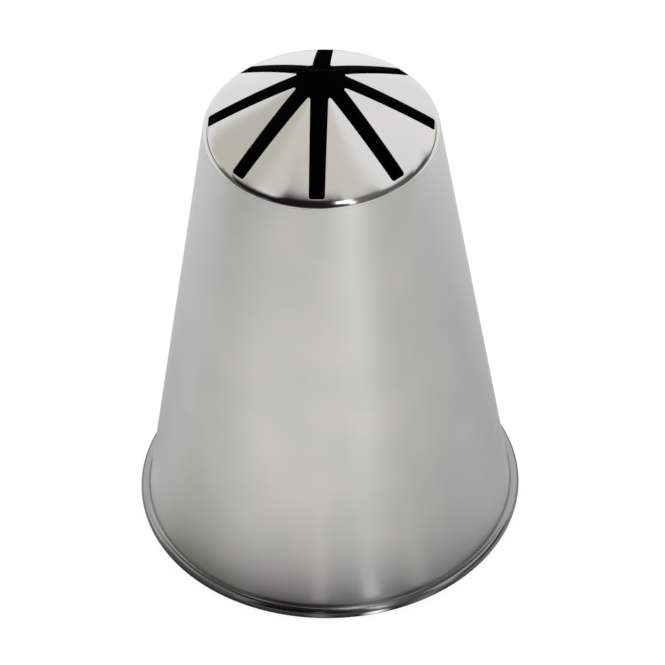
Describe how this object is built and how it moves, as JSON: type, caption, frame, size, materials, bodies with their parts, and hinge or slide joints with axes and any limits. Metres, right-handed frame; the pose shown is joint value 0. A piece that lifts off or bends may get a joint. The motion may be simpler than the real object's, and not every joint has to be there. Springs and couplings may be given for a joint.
{
  "type": "piping nozzle",
  "caption": "Tapered metal piping nozzle with a crowned cap cut by radial slots that meet in an open hub, and a rolled bead round its wide end.",
  "frame": {"origin": "centre of the wide end, on the plane that its rolled bead rests on", "axes": "+Z along the nozzle's axis, from the wide end to the slotted tip; +X along the middle of one slot"},
  "size_m": [0.035, 0.035, 0.0496],
  "materials": {
    "satin_steel": "stainless steel, satin with fine brushing round the cone, polished on the bead, dull inside",
    "polished_steel": "stainless steel, polished nearly to a mirror, with faint turning lines, dull inside",
    "braze": "grey braze, wiped flush"
  },
  "bodies": {
    "root": {"cone_body": "satin_steel", "slotted_cap": "polished_steel", "cap_braze_ring": "braze"}
  },
  "joints": []
}
